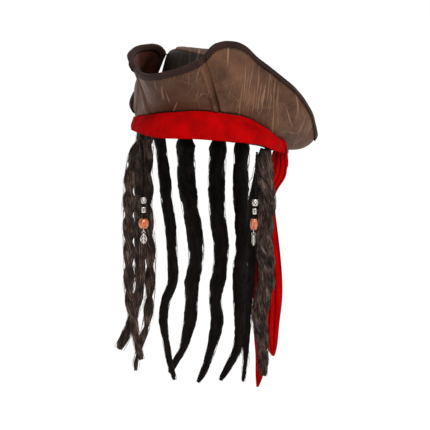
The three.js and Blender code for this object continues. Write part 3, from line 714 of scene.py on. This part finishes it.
    tree.links.new(dullness.outputs["Result"], shader.inputs["Roughness"])
    shader.inputs["Specular IOR Level"].default_value = 0.2
    return material


LEATHER = cracked_leather(
    "cracked_polyurethane_leather", "#382013", "#533626", "#6a4732", "#95735a", 0.7)
# Painted shade: the crown's wall gets the same leather painted far darker, for the shade of the brim round
# it.
CROWN_PAINTED_SHADE_LEATHER = cracked_leather(
    "painted_shade_polyurethane_leather", "#0f0804", "#180e08", "#291a11", "#5a4433", 0.4)
FACING = cracked_leather(
    "dark_polyurethane_facing", "#371a13", "#45231a", "#573024", "#6e4a3c", 0.5)
print("leather materials:", LEATHER.name, FACING.name)

# %% [markdown]
# ## Woven and knitted stuff
# Three cloths: cotton twill inside the hat, a ribbed tape folded over the brim's rim, and the
# bandana's jersey knit. Each pattern runs on a UV map in metres, so its pitch is a real size. The
# knit's loops are drawn 1.8 mm wide, coarser than real jersey, or nothing of them would show.

# %% Cloth materials
def striped_cloth(name, dark, light, stripe_pitch, slant, bump_depth, roughness, sheen):
    """A cloth with fine ridges: twill where they slant, ribbed tape where they don't."""
    material, tree, shader = new_material(name)
    uv = add_node(tree, "ShaderNodeUVMap", {"uv_map": "along"})
    turned = add_node(tree, "ShaderNodeMapping", sockets={
        "Vector": uv.outputs["UV"], "Rotation": (0, 0, slant),
    })
    ridges = add_node(tree, "ShaderNodeTexWave", {"wave_type": "BANDS"}, {
        "Vector": turned.outputs["Vector"], "Scale": 1 / stripe_pitch / math.tau * 2, "Distortion": 0.6,
        "Detail": 2.0,
    })
    place = add_node(tree, "ShaderNodeTexCoord")
    wear = add_node(tree, "ShaderNodeTexNoise", sockets={
        "Vector": place.outputs["Object"], "Scale": 60.0, "Detail": 4.0,
    })
    tone = add_node(tree, "ShaderNodeMath", {"operation": "MULTIPLY_ADD"}, {
        0: ridges.outputs["Fac"], 1: 0.35, 2: wear.outputs["Fac"],
    })
    colour = ramp(tree, tone.outputs["Value"], [(0.35, dark), (0.95, light)])
    tree.links.new(colour, shader.inputs["Base Color"])
    bump = add_node(tree, "ShaderNodeBump", sockets={
        "Strength": 0.7, "Distance": bump_depth, "Height": ridges.outputs["Fac"],
    })
    tree.links.new(bump.outputs["Normal"], shader.inputs["Normal"])
    shader.inputs["Roughness"].default_value = roughness
    shader.inputs["Specular IOR Level"].default_value = 0.2
    shader.inputs["Sheen Weight"].default_value = sheen
    return material


def jersey_knit(name, shade, mid, lit):
    """Brushed polyester jersey: columns of small loops under a soft nap."""
    material, tree, shader = new_material(name)
    uv = add_node(tree, "ShaderNodeUVMap", {"uv_map": "along"})
    split = add_node(tree, "ShaderNodeSeparateXYZ", sockets={"Vector": uv.outputs["UV"]})

    def calc(operation, first, second=0.0):
        made = add_node(tree, "ShaderNodeMath", {"operation": operation}, {0: first, 1: second})
        return made.outputs["Value"]

    columns = calc("ABSOLUTE", calc("SINE", calc("MULTIPLY", split.outputs["X"], math.pi / 0.0018)))
    loops = calc("SINE", calc("ADD", calc("MULTIPLY", split.outputs["Y"], math.tau / 0.0016),
                              calc("MULTIPLY", columns, 2.4)))
    height = calc("ADD", columns, calc("MULTIPLY", loops, 0.3))
    place = add_node(tree, "ShaderNodeTexCoord")
    nap = add_node(tree, "ShaderNodeTexNoise", sockets={
        "Vector": place.outputs["Object"], "Scale": 45.0, "Detail": 5.0, "Roughness": 0.6,
    })
    tone = calc("ADD", nap.outputs["Fac"], calc("MULTIPLY", height, 0.12))
    colour = ramp(tree, tone, [(0.36, shade), (0.58, mid), (0.8, lit)])
    tree.links.new(colour, shader.inputs["Base Color"])
    bump = add_node(tree, "ShaderNodeBump", sockets={
        "Strength": 0.35, "Distance": 0.0005, "Height": height,
    })
    tree.links.new(bump.outputs["Normal"], shader.inputs["Normal"])
    shader.inputs["Roughness"].default_value = 0.88
    shader.inputs["Specular IOR Level"].default_value = 0.04
    shader.inputs["Sheen Weight"].default_value = 0.03
    shader.inputs["Sheen Roughness"].default_value = 0.4
    shader.inputs["Sheen Tint"].default_value = linear("#ff2a1c")
    return material


TWILL = striped_cloth("black_cotton_twill", "#0d0908", "#221b18", 2 * MM, 0.8, 0.0004, 0.9, 0.04)
TAPE = striped_cloth("folded_dark_grosgrain_tape", "#170804", "#331a12", 2.2 * MM, 0, 0.0005, 0.72, 0.02)
KNIT = jersey_knit("red_brushed_jersey_knit", "#7e0001", "#9c0001", "#b00002")
print("cloths:", TWILL.name, TAPE.name, KNIT.name)

# %% [markdown]
# ## The hat
# The brim has two layers, turned up on three sides, with a tape folded over the rim. The crown is
# a wall and a soft top panel. All of them are copies of the CAD shells, bent by the same wave.

# %% Brim
CREASES = [  # degrees round the head at the seam and at the rim, ridge and valley in millimetres
    (30.5, 17.5, 6.4, 5.2),
    (-27.0, -37.0, 2.6, 2.2),
]
SEAM_AT, RIM_AT = 30 * MM, 105 * MM  # heights between which a crease runs


def brim_bend(place):
    """The soft wave, with a rounded ridge and a sharp valley beside it at each crease."""
    angle = math.degrees(math.atan2(place.x, -place.y))
    outward = Vector((place.x, place.y, 0)).normalized()
    rise = (place.z - SEAM_AT) / (RIM_AT - SEAM_AT)
    strength = min(1, max(0, (place.z - 18 * MM) / (14 * MM)))
    out = 0
    for at_seam, at_rim, ridge, valley in CREASES:
        off = angle - at_seam - (at_rim - at_seam) * rise
        out += ridge * math.exp(-((off + 3.0) / 2.2) ** 2) - valley * math.exp(-(off / 0.9) ** 2)
    return soft_wave(place) + outward * out * strength * MM


def draw_in(piece, depth=3.2 * MM, reach=9 * MM):
    """Draws a layer's sewn edge in against the crown's sides, so that less light shows between."""
    places = np.array([vertex.co[:] for vertex in piece.data.vertices])
    angles = np.degrees(np.arctan2(places[:, 0], -places[:, 1]))
    radii = np.hypot(places[:, 0], places[:, 1])
    middles = np.arange(-180, 181, 6)  # degrees: the layer's innermost radius is taken every six
    inner = [radii[np.abs((angles - middle + 180) % 360 - 180) < 4].min() for middle in middles]
    share = np.clip(1 - (radii - np.interp(angles, middles, inner)) / reach, 0, 1) ** 2
    share *= np.clip((np.abs(np.sin(np.radians(angles))) - 0.4) / 0.3, 0, 1)
    for vertex, radius, part in zip(piece.data.vertices, radii, share):
        vertex.co -= Vector((vertex.co.x, vertex.co.y, 0)) / radius * depth * part


brim_outer = copy_of("brim_outer", "brim_outer_leather", 3)
move_points(brim_outer, lambda place, normal: brim_bend(place))
draw_in(brim_outer)
settle(brim_outer, "hat", "imitation_leather", LEATHER, "brim_outer")

brim_facing = copy_of("brim_facing", "brim_facing_leather", 2)
move_points(brim_facing, lambda place, normal: brim_bend(place))
draw_in(brim_facing)
settle(brim_facing, "hat", "leather_facing", FACING, "brim_facing")

binding = copy_of("brim_binding", "brim_binding_tape", 2, crease_from=80)
move_points(binding, lambda place, normal: (
    brim_bend(place) + normal * 0.25 * MM * noise.noise(place / (5 * MM))))
wrap_uv(binding, 120 * MM)
settle(binding, "hat", "binding_tape", TAPE, "brim_binding")

# %% [markdown]
# The crown's wall is leather outside and twill inside, and a shoulder rounds its upper edge. Its
# leather is the same kind painted far darker, as painted shade under the turned-up brim.

# %% Crown's wall
HAT_TURN = (Matrix.Rotation(math.radians(-7.5), 3, "X")
            @ Matrix.Rotation(math.radians(3.8), 3, "Y"))  # how the hat is tilted on the head
CROWN_MIDDLE = Vector((-9, 0, 0)) * MM
CROWN_TOP = Vector((52, 66, 100)) * MM  # half width, half depth and height of its upper edge
SHOULDER = 18 * MM  # how far down the wall the rounding starts


def rounded_crown(place):
    """The soft wave, and a shoulder that rounds the crown's upper edge."""
    upright = HAT_TURN.inverted() @ place
    radial = Vector((upright.x, upright.y, 0)) - CROWN_MIDDLE
    sunk = min(1, max(0, (upright.x + 12 * MM) / (54 * MM)))
    edge = CROWN_TOP.z - 11 * MM * sunk * sunk * (3 - 2 * sunk)
    near = min(1, max(0, (upright.z - edge + SHOULDER) / SHOULDER))
    reach = math.hypot(radial.x / CROWN_TOP.x, radial.y / CROWN_TOP.y)
    draw = -radial.normalized() * 8 * MM * (1 - math.sqrt(1 - near ** 2)) * min(1.2, reach ** 2)
    drop = Vector((0, 0, -5 * MM * near ** 3 * min(1.2, reach ** 6)))
    return soft_wave(place) + HAT_TURN @ (draw + drop)


crown_side = copy_of("crown_side", "crown_wall", 3)
move_points(crown_side, lambda place, normal: rounded_crown(place))
wrap_uv(crown_side)
settle(crown_side, "hat", "imitation_leather", CROWN_PAINTED_SHADE_LEATHER, "crown_side")
crown_side.data.materials.append(TWILL)
middle = sum((v.co for v in crown_side.data.vertices), Vector()) / len(crown_side.data.vertices)
for polygon in crown_side.data.polygons:
    outward = Vector((polygon.center.x - middle.x, polygon.center.y - middle.y, 0))
    if polygon.normal.dot(outward) < 0 and polygon.normal.z > -0.9:
        polygon.material_index = 1
print("twill faces inside the crown:", sum(p.material_index for p in crown_side.data.polygons))

# %% [markdown]
# The top panel starts as the CAD disc. Its two flat caps are cleared of their fans and inset into
# rings, so that the panel can sag and crumple as a soft top does.

# %% Crown's top panel
FAN = 20  # a point with more edges than this is the hub of a cap's fan
RIM_CORNERS = 12  # and a face with more corners than this is what is left of a cap
RINGS = 5
RING_WIDTH = 8.5 * MM
crown_tip = copy_of("crown_tip", "crown_top_panel", 0)
focus(crown_tip)
bpy.ops.object.mode_set(mode="EDIT")
shell = bmesh.from_edit_mesh(crown_tip.data)
hubs = [v for v in shell.verts if len(v.link_edges) > FAN]
bmesh.ops.dissolve_verts(shell, verts=hubs)
bmesh.update_edit_mesh(crown_tip.data)
bpy.ops.mesh.select_mode(type="FACE")
for _ in range(RINGS):
    bpy.ops.mesh.select_all(action="DESELECT")
    shell = bmesh.from_edit_mesh(crown_tip.data)
    shell.faces.ensure_lookup_table()
    for face in shell.faces:
        face.select_set(len(face.verts) > RIM_CORNERS)
    bmesh.update_edit_mesh(crown_tip.data)
    bpy.ops.mesh.inset(thickness=RING_WIDTH, use_individual=True)
bpy.ops.mesh.poke()
bpy.ops.object.mode_set(mode="OBJECT")
apply_modifier(crown_tip, "SUBSURF", levels=2, render_levels=2)
crown_tip.data.shade_smooth()
tip_low, tip_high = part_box("crown_tip")
tip_middle = (tip_low + tip_high) / 2
tip_half = (tip_high - tip_low) / 2


def sag(place, normal):
    """The top panel sinks in its middle and crumples a little."""
    reach = math.hypot((place.x - tip_middle.x) / tip_half.x, (place.y - tip_middle.y) / tip_half.y)
    free = max(0, 1 - reach) ** 0.7
    crumple = noise.noise(place / (16 * MM)) * 1.6 * MM
    return rounded_crown(place) + Vector((0, 0, free * (crumple - 3 * MM)))


move_points(crown_tip, sag)
settle(crown_tip, "hat", "imitation_leather", LEATHER, "crown_tip")

# %% [markdown]
# Inside the headband lies the sweatband, and under it the tapes that the hair is sewn to.

# %% Sweatband and hair tapes
sweatband = copy_of("sweatband", "sweatband_twill", 2)
move_points(sweatband, lambda place, normal: soft_wave(place))
wrap_uv(sweatband)
settle(sweatband, "hat", "cotton_twill", TWILL, "sweatband")
for node in ("hair_weft_back", "hair_weft_left"):
    tape = copy_of(node, node + "_tape", 2)
    move_points(tape, lambda place, normal: soft_wave(place))
    wrap_uv(tape)
    settle(tape, "hat", "cotton_twill", TWILL, node)

thread_material, tree, shader = new_material("waxed_polyester_thread")
shader.inputs["Base Color"].default_value = linear("#20140f")
shader.inputs["Roughness"].default_value = 0.7
tack = copy_of("tack_stitch_right", "tack_stitch_thread", 2)
move_points(tack, lambda place, normal: soft_wave(place))
settle(tack, "hat", "sewing_thread", thread_material, "tack_stitch_right")

# %% [markdown]
# ## The bandana
# A strip of red jersey lies round the headband with a few shallow folds along it, turns down over
# the left ear where it is gathered, and ends in two tails.

# %% Bandana band
band = copy_of("bandana_band", "bandana_band_knit", 3, crease_from=55)


def band_folds(place, normal):
    """Long shallow folds that run along the band and drift up and down it."""
    angle = math.atan2(place.x, -place.y)
    drift = 2.2 * MM * noise.noise(Vector((angle * 1.3, 0, 4)))
    fold = noise.noise(Vector((angle * 2.2, (place.z + drift + 9 * MM * angle) / (7 * MM), 1.7)))
    upper = min(1, max(0, normal.z)) * 1.6 * MM  # its upper edge tucks up under the brim
    return soft_wave(place) + normal * (0.9 * MM * fold) + Vector((0, 0, upper))


move_points(band, band_folds)
wrap_uv(band)
settle(band, "hat", "bandana_knit", KNIT, "bandana_band")

# %% [markdown]
# The gather and the tails are one cloth folded into pleats. Each is made as a sheet: rows of points
# across it, pushed into S-shaped folds that fan out and run together as the cloth widens and
# narrows. Solidify gives it the knit's thickness. Its flat size is what the pleats unfold to.

# %% Pleated cloth
def eased(rows, count):
    """Smooth rows of numbers between given rows."""
    knots = np.array([2 * np.array(rows[0]) - np.array(rows[1]), *rows,
                      2 * np.array(rows[-1]) - np.array(rows[-2])], float)
    places = np.linspace(0, len(rows) - 1, count)
    made = []
    for at in places:
        i = min(int(at), len(rows) - 2)
        made.append(between(*knots[i:i + 4], at - i))
    return np.array(made)


def pleated_cloth(name, body, node, rows, depth, pleats, seed):
    """A sheet gathered into pleats that fills the place of its CAD solid."""
    across, down = 84, 90
    lines = eased(rows, down)
    points, uvs = [], []
    for r, (x, y, z, half_width) in enumerate(lines):
        half_width = max(half_width, 1.0) - 0.4
        share = r / (down - 1)
        half_depth = min(depth / 2, 0.75 * half_width) - 0.6
        for k in range(across):
            t = 2 * k / (across - 1) - 1
            wander = 0.9 * noise.noise(Vector((seed, 3.0 * share, 0.8 * t)))
            phase = math.pi * pleats * (t + 1) + wander * 2.2
            strength = 0.62 + 0.38 * noise.noise(Vector((t * 2.1, share * 4, seed + 5)))
            u = x + half_width * (0.9 * t + 0.1 * math.sin(2 * phase))
            v = y + half_depth * strength * math.cos(phase)
            points.append(hanging((u, v, z)))
            uvs.append((k / (across - 1) * 60 * MM, -z * MM))
    faces = [(r * across + k, r * across + k + 1, (r + 1) * across + k + 1, (r + 1) * across + k)
             for r in range(down - 1) for k in range(across - 1)]
    piece = mesh_piece(name, points, faces, uvs, KNIT)
    apply_modifier(piece, "SOLIDIFY", thickness=1.0 * MM, offset=0)
    piece.data.shade_smooth()
    settle(piece, body, "bandana_knit", KNIT, node)
    return piece


gather = pleated_cloth("bandana_gather_knit", "hat", "bandana_gather", [
    (82, -36, 3, 2), (82, -34, -3, 4.5), (79.5, -30, -10, 8.5), (77.5, -27, -19, 10.5),
    (77, -25, -30, 11.5), (75, -26, -42, 11.5), (70, -27, -54, 9), (66, -27, -65.5, 6),
], 8, 3.5, 1.0)
pleated_cloth("bandana_front_tail_knit", "bandana_tails", "bandana_tail_front", [
    (66, -27, -70, 2.2), (66, -27, -74, 4.6), (66, -27, -80, 7), (65, -27, -92, 9.5),
    (68, -27, -139, 12), (70, -27, -185, 12),
    (69, -27, -222, 10), (70, -27, -242, 6), (71, -27, -250, 1.5),
], 7, 3, 2.0)
pleated_cloth("bandana_back_tail_knit", "bandana_tails", "bandana_tail_back", [
    (61, -16, -69.5, 4.5), (60, -16, -74, 6.5), (58, -15, -92, 9.5), (57, -15, -118, 10),
    (56, -15, -170, 10), (56, -15, -220, 9), (57, -15, -250, 7.5), (55, -15, -275, 5),
    (53, -15, -288, 1.5),
], 7, 3, 3.0)

# %% [markdown]
# ## Beads and charms
# Each strand is a thin twist of hair, threaded through a silver-coloured bead, a short tube and an
# amber-coloured wooden bead, with a small cast charm below. The castings are zinc with a worn
# silver plating: their hollows have gone dark, and their high spots shine.

# %% Metal and wood
SILVER, tree, shader = new_material("aged_silver_plated_zinc")
hollow = add_node(tree, "ShaderNodeAttribute", {"attribute_name": "height"})
tarnish = add_node(tree, "ShaderNodeTexNoise", sockets={
    "Vector": add_node(tree, "ShaderNodeTexCoord").outputs["Object"], "Scale": 700.0, "Detail": 3.0,
})
bright = add_node(tree, "ShaderNodeMath", {"operation": "MULTIPLY_ADD"}, {
    0: tarnish.outputs["Fac"], 1: 0.5, 2: hollow.outputs["Fac"],
})
colour = ramp(tree, bright.outputs["Value"], [(0.4, "#2b2724"), (0.75, "#a39c96"), (1.0, "#e6e0da")])
tree.links.new(colour, shader.inputs["Base Color"])
dull = add_node(tree, "ShaderNodeMapRange", sockets={
    "Value": bright.outputs["Value"], "From Min": 0.4, "From Max": 1.1, "To Min": 0.6, "To Max": 0.22,
})
tree.links.new(dull.outputs["Result"], shader.inputs["Roughness"])
shader.inputs["Metallic"].default_value = 1.0

AMBER, tree, shader = new_material("varnished_amber_stained_wood")
mapped = add_node(tree, "ShaderNodeMapping", sockets={
    "Vector": add_node(tree, "ShaderNodeTexCoord").outputs["Object"], "Scale": (1, 1, 0.3),
})
figure = add_node(tree, "ShaderNodeTexNoise", sockets={
    "Vector": mapped.outputs["Vector"], "Scale": 420.0, "Detail": 3.0, "Distortion": 1.2,
})
colour = ramp(tree, figure.outputs["Fac"], [(0.3, "#6b2c0a"), (0.5, "#b5541c"), (0.72, "#f0a05c")])
tree.links.new(colour, shader.inputs["Base Color"])
shader.inputs["Roughness"].default_value = 0.3
shader.inputs["Subsurface Weight"].default_value = 0.12
shader.inputs["Subsurface Radius"].default_value = (0.004, 0.0015, 0.0008)
shader.inputs["Coat Weight"].default_value = 0.7
shader.inputs["Coat Roughness"].default_value = 0.08
print("bead materials:", SILVER.name, AMBER.name)

# %% [markdown]
# A bead starts as a copy of its CAD barrel, subdivided. Cast grains, flutes or turned grooves are
# then cut into it: each point moves in or out by a pattern of its angle and height, and the same
# number is kept as an attribute, which the metal reads to darken its hollows.

# %% Carving
def corners_of(mesh):
    """The lowest and the highest corner of the box round a mesh."""
    low = Vector([min(v.co[k] for v in mesh.vertices) for k in range(3)])
    high = Vector([max(v.co[k] for v in mesh.vertices) for k in range(3)])
    return low, high


def keep_heights(mesh, heights):
    """Keeps a number for each point, which the metal reads as how high it stands."""
    attribute = mesh.attributes.new("height", "FLOAT", "POINT")
    attribute.data.foreach_set("value", np.array(heights, np.float32))
    mesh.update()


def carve(piece, depth, pattern):
    """Moves points along their normals by a pattern of angle and height, and keeps the pattern."""
    mesh = piece.data
    low, high = corners_of(mesh)
    centre, half = (low + high) / 2, (high - low) / 2
    heights = []
    for vertex, normal in [(v, v.normal.copy()) for v in mesh.vertices]:
        off = vertex.co - centre
        value = pattern(math.atan2(off.y, off.x), off.z / half.z)
        heights.append(value)
        vertex.co += normal * depth * (value - 1)
        if depth:  # a barrel's ends are drawn in
            vertex.co -= Vector((off.x, off.y, 0)) * 0.16 * (off.z / half.z) ** 2
    keep_heights(mesh, heights)


def grains(angle, height):
    """Rows of small cast grains round a bead, with a plain rim at each end."""
    rim = abs(height) > 0.82
    return 0.9 if rim else 0.55 + 0.45 * math.cos(6 * angle) * math.cos(6.5 * height)


def flutes(angle, height):
    """Upright flutes between the two rims of a tube."""
    rim = abs(height) > 0.66
    return 1.0 if rim else 0.5 + 0.5 * math.cos(7 * angle)


def turned(angle, height):
    """A wooden bead: plain, with one fine groove near each end."""
    return 0.2 if 0.62 < abs(height) < 0.76 else 1.0


print("patterns at their middle:", round(grains(0, 0), 2), round(flutes(0, 0), 2), turned(0, 0))

# %% [markdown]
# A strand is two yarns laid round each other. The beads are threaded on it, and it ends in a jump
# ring that passes through the charm's eye.

# %% Threaded strands
STRANDS = {
    "left": [(52, -67, -8), (51, -72, -24), (51, -75, -44), (50, -76, -64), (48, -76, -98)],
    "right": [(-82, -27, 0), (-79, -28, -14), (-78, -28, -40), (-78, -28, -66), (-78, -28, -103)],
}
YARN = 0.95 * MM  # radius of one yarn
YARN_OFF = 0.55 * MM  # from the strand's middle line
YARN_TURN = 9 * MM  # the length in which a yarn goes round once
CHARM_EYE = 1.3 * MM  # from the charm's top down to the middle of its eye
RING_RADIUS, RING_WIRE = 2.3 * MM, 0.42 * MM
RING_LIFT = 1.2 * MM  # the ring's middle above the eye's
BEADS = [
    ("silver_bead", SILVER, "silver_metal", 0.35 * MM, grains),
    ("silver_tube", SILVER, "silver_metal", 0.3 * MM, flutes),
    ("amber_bead", AMBER, "amber_wood", 0.3 * MM, turned),
]
for hand, route in STRANDS.items():
    for node, material, slot_name, depth, pattern in BEADS:
        bead = copy_of(f"{hand}_{node}", f"{hand}_{node}_carved", 3, crease_from=70)
        carve(bead, depth, pattern)
        settle(bead, f"{hand}_strand", slot_name, material, f"{hand}_{node}")
    centres, length = smooth_route(route, 1.5 * MM)
    yarns = []
    side, across = frames_along(centres)
    along = np.linspace(0, length, len(centres))
    for s in range(2):
        phase = s * math.pi + math.tau * along / YARN_TURN
        off = YARN_OFF * (side * np.cos(phase)[:, None] + across * np.sin(phase)[:, None])
        radii = np.full(len(centres), YARN)
        yarns.append(tube(centres + off, radii, 0, 8, 10 * MM * s, round_tip=False))
    points, faces, uvs = join_parts(yarns)
    strand = mesh_piece(f"{hand}_bead_strand_twisted", points, faces, uvs, BLACK_HAIR)
    settle(strand, f"{hand}_strand", "brown_hair", BLACK_HAIR, f"{hand}_bead_strand")

    ring_low, ring_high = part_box(f"{hand}_charm")
    middle = (ring_low + ring_high) / 2
    eye = Vector((middle.x, middle.y, ring_high.z - CHARM_EYE))
    bpy.ops.mesh.primitive_torus_add(
        major_radius=RING_RADIUS, minor_radius=RING_WIRE, major_segments=28, minor_segments=10,
        location=eye + Vector((0, 0, RING_LIFT)), rotation=(math.pi / 2, 0, HANG_TURN + math.pi / 2))
    jump_ring = bpy.context.object
    jump_ring.name = f"{hand}_jump_ring"
    bpy.ops.object.transform_apply(location=True, rotation=True, scale=True)
    jump_ring.data.shade_smooth()
    carve(jump_ring, 0, lambda angle, height: 0.8)
    settle(jump_ring, f"{hand}_strand", "silver_metal", SILVER)
    print(f"{strand.name}: {length * 1000:.0f} mm")

# %% [markdown]
# The charms are small cast leaves, with a rim, a rib down the middle and side veins.

# %% Charms
def leaf_relief(piece, depth):
    """Veins and a rim on both faces of a flat leaf, kept as the height attribute."""
    mesh = piece.data
    low, high = corners_of(mesh)
    centre = (low + high) / 2
    heights = []
    flat_side = Vector((math.cos(HANG_TURN), math.sin(HANG_TURN), 0))
    half_width = max(abs((v.co - centre).dot(flat_side)) for v in mesh.vertices)
    for vertex, normal in [(v, v.normal.copy()) for v in mesh.vertices]:
        across_leaf = (vertex.co - centre).dot(flat_side) / half_width
        down = (high.z - vertex.co.z) / (high.z - low.z)
        rib = math.exp(-(across_leaf / 0.16) ** 2)
        veins = 0.5 + 0.5 * math.cos(26 * (down - 0.35 * abs(across_leaf)))
        value = max(rib, 0.75 * veins, abs(across_leaf) ** 3)
        heights.append(value)
        vertex.co += normal * depth * (value - 0.6)
    keep_heights(mesh, heights)


for hand in STRANDS:
    charm = copy_of(f"{hand}_charm", f"{hand}_charm_leaf", 4, crease_from=200)
    leaf_relief(charm, 0.35 * MM)
    settle(charm, f"{hand}_charm_body", "silver_metal", SILVER, f"{hand}_charm")

# %% [markdown]
# ## Sizes
# The CAD model's box is printed. The dressed model has to keep to the CAD model's box.

# %% Print the CAD box
print("CAD box", [[round(x, 3) for x in c] for c in CAD_BOX])
